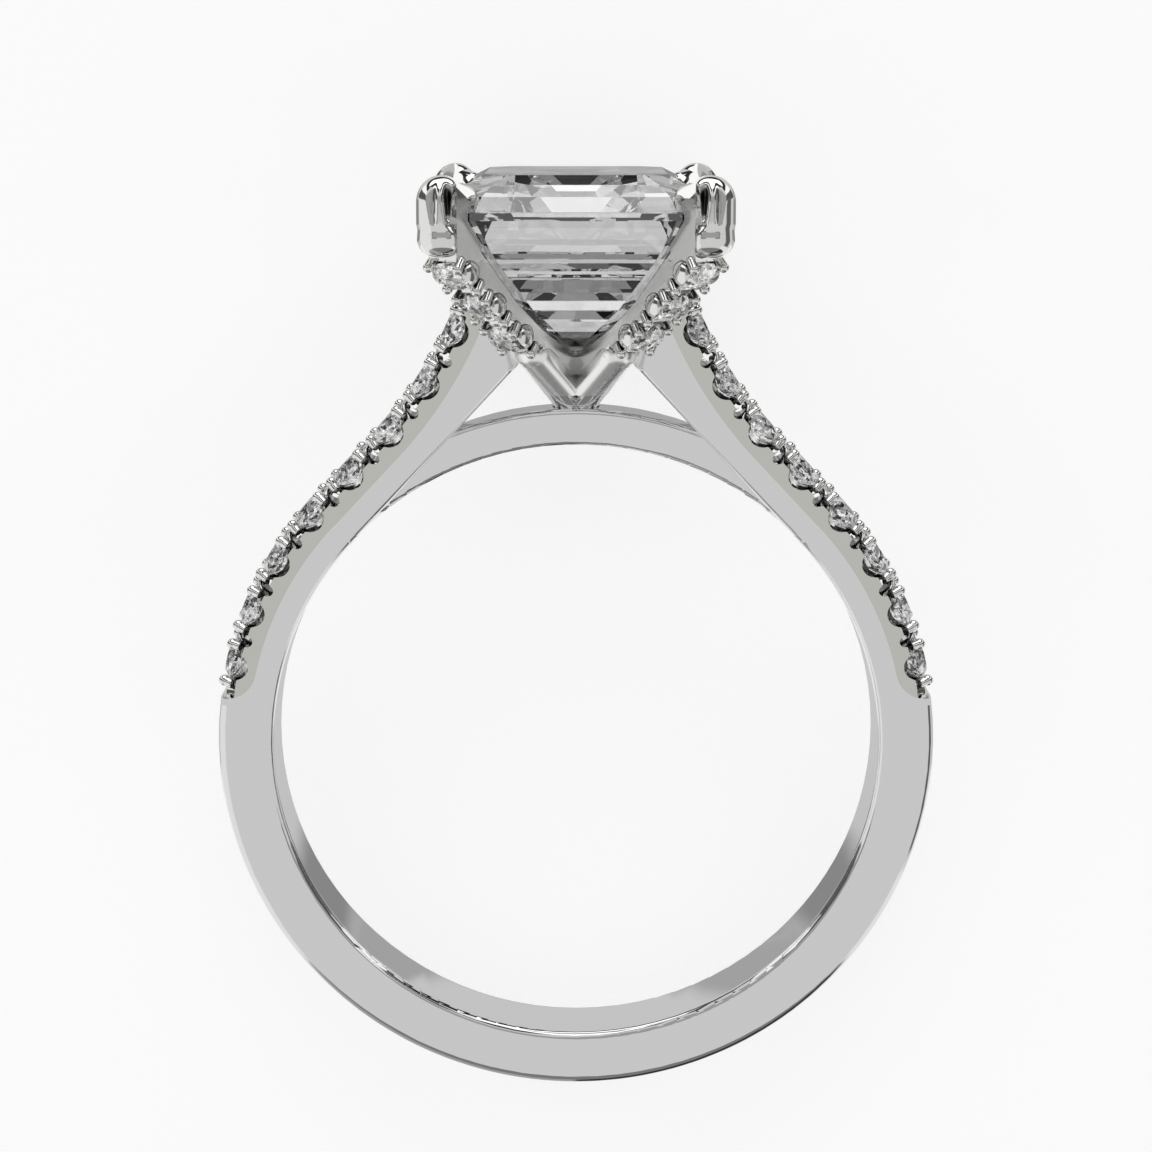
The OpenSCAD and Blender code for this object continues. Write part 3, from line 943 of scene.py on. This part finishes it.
# %% Room for the two rows
ROOM_CUTS, ROOM_HALF = 90, 1.3
room_end = row_end + 0.25
waste = slab(row_outline(ROW_DEPTH, row_start, room_end), ROOM_HALF)
lone(waste)
bpy.ops.object.mode_set(mode="EDIT")
for k in range(1, ROOM_CUTS):
    s = row_start + k * (room_end - row_start) / ROOM_CUTS
    bpy.ops.mesh.select_all(action="SELECT")
    bpy.ops.mesh.bisect(plane_co=(s, 0, 0), plane_no=(1, 0, 0))
bpy.ops.object.mode_set(mode="OBJECT")
laid_along_edge(waste)
closed_skin(waste)
cut(shank, [waste, copy_of(waste, Matrix.Scale(-1, 4, (1, 0, 0)))])
closed_skin(shank)
shaded(shank, CRISP)
print("cuts across the waste:", ROOM_CUTS - 1)

# %% [markdown]
# The band is bright all over. A row is set metal on top, and its two flat sides are the warmer
# metal, which shows beside the stones in the photograph. The sides are known by their place.

# %% Lay down the shank and the rows
finished(shank, bright_metal)
for piece in (row, left_row):
    at_side = [int(abs(f.center.y) > ROW_SIDE - 2 * HAIR) for f in piece.data.polygons]
    finished(piece, set_metal, warm_metal, chosen=at_side)
    print(piece.name, "faces at its sides:", sum(at_side))

# %% [markdown]
# Each claw stands at a corner of the centre stone, at the end of an arm that rises from the
# bridge. One arm with its claw is modelled out along X, and then turned to a corner and mirrored
# to the others. A place on the arm is told by its distance from the ring's middle line and by how
# far it is moved off the arm, up along it and across it.

# %% The arm's own directions
CLAW_X, CLAW_Y, CLAW_R = 3.36, 4.04, 0.647
ARM_TURN = math.atan2(CLAW_Y, CLAW_X)
REACH = math.hypot(CLAW_X, CLAW_Y)
SLOPE, ARM_FOOT = math.radians(40), 8.84
ARM_HALF, FLAT = 0.47, 0.474
ARM_FIRST, ARM_PITCH, ARM_STONES = 2.78, 1.37, 3
up_arm = Vector((math.cos(SLOPE), 0, math.sin(SLOPE)))
off_arm = Vector((math.sin(SLOPE), 0, -math.cos(SLOPE)))


def arm_point(u, out=0.0, along=0.0, v=0.0):
    """A place at the distance u from the ring's axis, moved off the arm, along and across it."""
    base = Vector((u, 0, ARM_FOOT + u * math.tan(SLOPE)))
    return base + off_arm * out + up_arm * along + Vector((0, v, 0))


def side_view(u, out=0.0):
    """The same place in the arm's side view."""
    place = arm_point(u, out)
    return place.x, place.z


arm_stones = [ARM_FIRST + k * ARM_PITCH * math.cos(SLOPE) for k in range(ARM_STONES)]
print("reach of an arm:", round(REACH, 2))

# %% [markdown]
# The arm is a slab sawn to its side outline, with a row of small lobes at its edges that hold the
# stones like fingernails. Its seats are burred as those of the shoulders were, one stone at a
# time, with round marks across it between the stones.

# %% The arm with its lobes and seats
LOBE_R, LOBE_THIN, ARM_NOTCH_R = 0.34, 0.5, 0.2
BACK, SCORE_R = -0.42, 0.09
arm = slab(
    [
        (-0.3, 9.0), side_view(0.45, BACK), side_view(2.2, BACK), side_view(2.3), side_view(4.6),
        (4.86, 13.42), (5.1, 13.8), (5.1, 14.3), (4.9, 14.4), (3.99, 13.34), (2.95, 12.27),
        (1.95, 11.5), (0.49, 10.62), (-0.3, 10.2),
    ],
    ARM_HALF, 0.05,
)
lobes = [arm]
for u in arm_stones:
    for v in (-1, 1):
        lobe = ball((0, 0, 0), LOBE_R, (1, LOBE_THIN, 1))
        lobes.append(moved(lobe, Matrix.Translation(arm_point(u, -0.2, 0, v * 0.46))))
arm = united(lobes, "arm")
arm_seat = seat(0.555, -0.11, 0.52)
burs = []
for u in arm_stones:
    lay = Matrix.Translation(arm_point(u)) @ Matrix.Rotation(math.pi - SLOPE, 4, "Y")
    burs += [copy_of(form, lay) for form in arm_seat]
    for along in (-ARM_PITCH / 2, ARM_PITCH / 2):
        start, end = arm_point(u, -0.06, along, -1), arm_point(u, -0.06, along, 1)
        burs.append(rod(start, end, ARM_NOTCH_R, ARM_NOTCH_R))
for v in (-1, 1):
    start, end = arm_point(0.2, -0.36, 0, v * 0.52), arm_point(2.3, -0.36, 0, v * 0.52)
    burs.append(rod(start, end, SCORE_R, SCORE_R))
cut(arm, burs)
put_away(arm_seat)
print("arm faces:", len(arm.data.polygons))

# %% [markdown]
# Each arm stone has four prongs, each a rod with a bead at both ends. The root of the arm is a
# thick rod with a round end, because the real arm leaves the bridge as a rounded stem. They stay
# loose forms until the claw is ready, and all are then soldered in one go.

# %% The arm's prongs and its rounded root
ARM_PRONG, IN_BEAD_R, OUT_BEAD_R = (0.125, 0.13), 0.13, 0.135
ROOT_LOW_R, ROOT_HIGH_R, ROOT_SIDES = 0.56, 0.50, 48
forms = [arm]
for u in arm_stones:
    for along in (-0.46, 0.46):
        for v in (-1, 1):
            inner = arm_point(u, -0.24, along, v * 0.47)
            outer = arm_point(u, 0.02, along, v * 0.50)
            forms += [rod(inner, outer, *ARM_PRONG), ball(inner, IN_BEAD_R)]
            forms.append(ball(outer, OUT_BEAD_R))
root_low, root_high = arm_point(0.1, -0.40), arm_point(1.95, BACK)
forms.append(rod(root_low, root_high, ROOT_LOW_R, ROOT_HIGH_R, ROOT_SIDES))
forms.append(ball(root_high, ROOT_HIGH_R))
print("forms of an arm:", len(forms))

# %% [markdown]
# The claw is a turned column with a bulb for a foot and a dome for a top. A file has cut four
# marks up it, which leave a wide lobe outwards and a narrow ridge on each side, and it has
# flattened the sides in line with the arm. Turning is a spin of a profile. The marks are too soft
# for a cutter, so each point is moved in by a depth that is told by its angle and height.

# %% A turned form, and the depth of the file marks
SPIN_STEPS = 120
BULB_TOP = 14.1


def turned(profile, centre):
    """Spins a profile of radius and height round an upright line through the centre."""
    obj = meshed(drawn("turned", [(centre[0] + r, centre[1], z) for r, z in profile], "3D"))
    lone(obj)
    bpy.ops.object.mode_set(mode="EDIT")
    bpy.ops.mesh.select_all(action="SELECT")
    bpy.ops.mesh.spin(steps=SPIN_STEPS, angle=2 * math.pi, center=(*centre, 0), axis=(0, 0, 1))
    bpy.ops.object.mode_set(mode="OBJECT")
    return closed_skin(obj)


def eased(value, low, high):
    """From 0 at low to 1 at high, with soft ends."""
    x = min(1.0, max(0.0, (value - low) / (high - low)))
    return x * x * (3 - 2 * x)


def hollow(value, middle, width):
    """1 at the middle and 0 beyond the width, round between."""
    x = (value - middle) / width
    return (1 - x * x) ** 2 if abs(x) < 1 else 0.0


def mark_depth(a, z):
    """Depth of the file marks up a claw, by angle from its outer line and by height."""
    high = eased(z, BULB_TOP, 15.1)
    reach = eased(z, BULB_TOP, 14.6) * (1 - eased(z, 15.0, 15.5))
    inner = hollow(a, 24 - 6 * high, 6 + 9 * high) * (0.02 + 0.09 * high)
    return (inner + hollow(abs(a), 62, 12 + 10 * high) * (0.14 + 0.14 * high)) * reach


print("deepest file mark:", round(max(mark_depth(a, 15.0) for a in range(90)), 3))

# %% [markdown]
# The column is turned first. Then every point of it is filed: the marks, a shallow neck over the
# bulb, and the two flats, which bulge out again below for the bulb.

# %% The claw's column, turned and filed
DOME_Z, COLUMN_RINGS, RING_STEP, DOME_RINGS, DOME_STEP = 14.898, 21, 0.04, 30, 3
NECK_Z, NECK_HALF, NECK_DEPTH = 14.16, 0.2, 0.03
BULB_OUT, POLE = 0.22, 0.05
profile = [(0, 13.5), (0.2, 13.51), (0.38, 13.56), (0.5, 13.64), (0.585, 13.76), (0.635, 13.92)]
profile += [(CLAW_R, BULB_TOP + RING_STEP * k) for k in range(COLUMN_RINGS)]
for k in range(1, DOME_RINGS):
    rise = math.radians(DOME_STEP * k)
    profile.append((CLAW_R * math.cos(rise), DOME_Z + CLAW_R * math.sin(rise)))
profile.append((0, DOME_Z + CLAW_R))
column = turned(profile, (REACH, 0))
for vertex in column.data.vertices:
    u, v, z = vertex.co.x - REACH, vertex.co.y, vertex.co.z
    r = math.hypot(u, v)
    a = math.degrees(math.atan2(v, u))
    depth = mark_depth(a, z) + NECK_DEPTH * hollow(z, NECK_Z, NECK_HALF)
    shrink = max(0.0, r - depth) / r if r > POLE else 1.0
    u, v = u * shrink, v * shrink
    limit = FLAT + BULB_OUT * (1 - eased(z, 14.0, 14.35)) * eased(u, -0.1, 0.35)
    vertex.co = (REACH + u, math.copysign(min(abs(v), limit), v), z)
print("column points:", len(column.data.vertices))

# %% [markdown]
# From the top of the claw a tongue leans in over the stone and holds it down. It is a tapered rod
# with a round tip over a flat block, and a file has bevelled it on both sides, so that it shows a
# narrow crest. Two more cuts trim its sides in line with the column's flats.

# %% The tongue over the stone
TONGUE_RUN, TONGUE_Z, TONGUE_R = 0.80, 14.86, 0.44
BEVEL_Z, BEVEL_LEAN = 14.97, math.radians(124)
BEHIND = REACH - 0.02
tip_place = (REACH - TONGUE_RUN, 0, TONGUE_Z)
tongue = rod((REACH, 0, 14.93), tip_place, 0.52, TONGUE_R, 64)
tip = ball(tip_place, TONGUE_R, (0.75, 1, 1))
inner_flat = block((REACH - 0.95, -FLAT, 13.4), (REACH, FLAT, 14.9))
claw = united([column, tongue, tip, inner_flat], "claw")
marks = [block((REACH - 2, FLAT, 13), (BEHIND, 2, 16))]
marks.append(block((REACH - 2, -2, 13), (BEHIND, -FLAT, 16)))
for side in (-1, 1):
    bevel = block((REACH - 1.4, -0.8, -1.5), (BEHIND, 1.5, 0))
    moved(bevel, Matrix.Translation((0, FLAT, BEVEL_Z)) @ Matrix.Rotation(BEVEL_LEAN, 4, "X"))
    if side < 0:
        moved(bevel, Matrix.Scale(-1, 4, (0, 1, 0)))
    marks.append(closed_skin(bevel))
cut(claw, marks)
claw = united([claw] + forms, "claw")
print("claw faces:", len(claw.data.polygons))

# %% [markdown]
# A setter files each claw until it fits the stone. Here a copy of the centre stone, a hair
# larger, does the filing. Then the claw is cut to its own quarter of the ring, and its root is
# split off as a piece of the head's foot, which is brighter than the arms.

# %% Fit the claw to the stone, and split the root from the arm
STONE_MIDDLE, STONE_ROOM = 13.5, 1.006
STEP_Z, STEP_OVERLAP, FOOT_FLOOR, FOOT_SHRINK = 9.6, 0.05, 9.1, 0.985
stone_form = closed_skin(copy_of(nodes["centre_stone"], BENCH.inverted()))
middle = Matrix.Translation((0, 0, STONE_MIDDLE))
moved(stone_form, middle @ Matrix.Scale(STONE_ROOM, 4) @ middle.inverted())
moved(claw, Matrix.Rotation(ARM_TURN, 4, "Z"))
quarter = [block((-8, -8, 8), (0, 8, 17)), block((-8, -8, 8), (8, 0, 17))]
cut(claw, [stone_form] + quarter)
foot = copy_of(claw)
cut(claw, [block((-1, -1, 8), (3, 3, STEP_Z))])
cut(foot, [
    block((-1, -1, STEP_Z + STEP_OVERLAP), (9, 9, 17)), block((-1, -1, 8), (9, 9, FOOT_FLOOR)),
])
moved(foot, Matrix.Diagonal((FOOT_SHRINK, FOOT_SHRINK, 1, 1)))
for piece in (claw, foot):
    closed_skin(piece)
print("one claw's faces:", len(claw.data.polygons), "its foot's:", len(foot.data.polygons))

# %% [markdown]
# Two looks are noted on the claw while it still stands alone. Its wide flats and the root of its
# arm are satin. Its file marks are too shallow for the feelers, so their own depth tells how dark
# the shade painted into them is, and the feelers find the hollows between the arm's prongs, which
# get painted shade too.

# %% Satin flats, and the painted shade of the hollows
ROOT_OUT, ROOT_UP = 2.2, 10.9
CLAW_REACH, MARK_DARK = 0.40, 2.6


def along_x(place):
    """A place on the turned claw, as it was along X."""
    return Matrix.Rotation(-ARM_TURN, 4, "Z") @ place


def claw_recess(place):
    """How dark the painted shade in the file marks is at a place on the claw."""
    local = along_x(place)
    u, v, z = local.x - REACH, local.y, local.z
    if z < BULB_TOP or u < -0.05:
        return 0.0
    high = eased(z, 14.5, 15.05)
    return min(1.0, mark_depth(math.degrees(math.atan2(v, u)), z) * high * MARK_DARK)


satin = []
for face in claw.data.polygons:
    local = along_x(face.center)
    is_flat = abs(local.y) > FLAT - 6 * HAIR and face.area > FINE_FACE
    satin.append(int(is_flat or local.x < ROOT_OUT and local.z < ROOT_UP))
note_recess(claw, CLAW_REACH, claw_recess)
note_recess(foot, CLAW_REACH)
print("satin faces:", sum(satin))

# %% [markdown]
# The head is the same in all four corners, so the claw is mirrored to each, shaded anew there and
# laid down. The four feet are joined into one small piece on the bridge.

# %% Four claws with their arms, and the foot of the head
CLAW_CRISP = 38
CORNERS = {
    "front_right": (1, -1), "front_left": (-1, -1), "back_right": (1, 1), "back_left": (-1, 1),
}
feet = []
for name, (side, back) in CORNERS.items():
    corner = Matrix.Diagonal((side, back, 1, 1))
    piece = shaded(copy_of(claw, corner), CLAW_CRISP)
    piece.name = name + "_claw"
    finished(piece, set_metal, satin_metal, chosen=satin)
    feet.append(copy_of(foot, corner))
head_foot = shaded(joined(feet, "head_foot"), CLAW_CRISP)
finished(head_foot, bright_metal)
put_away([claw, foot])
print("claws:", len(CORNERS))
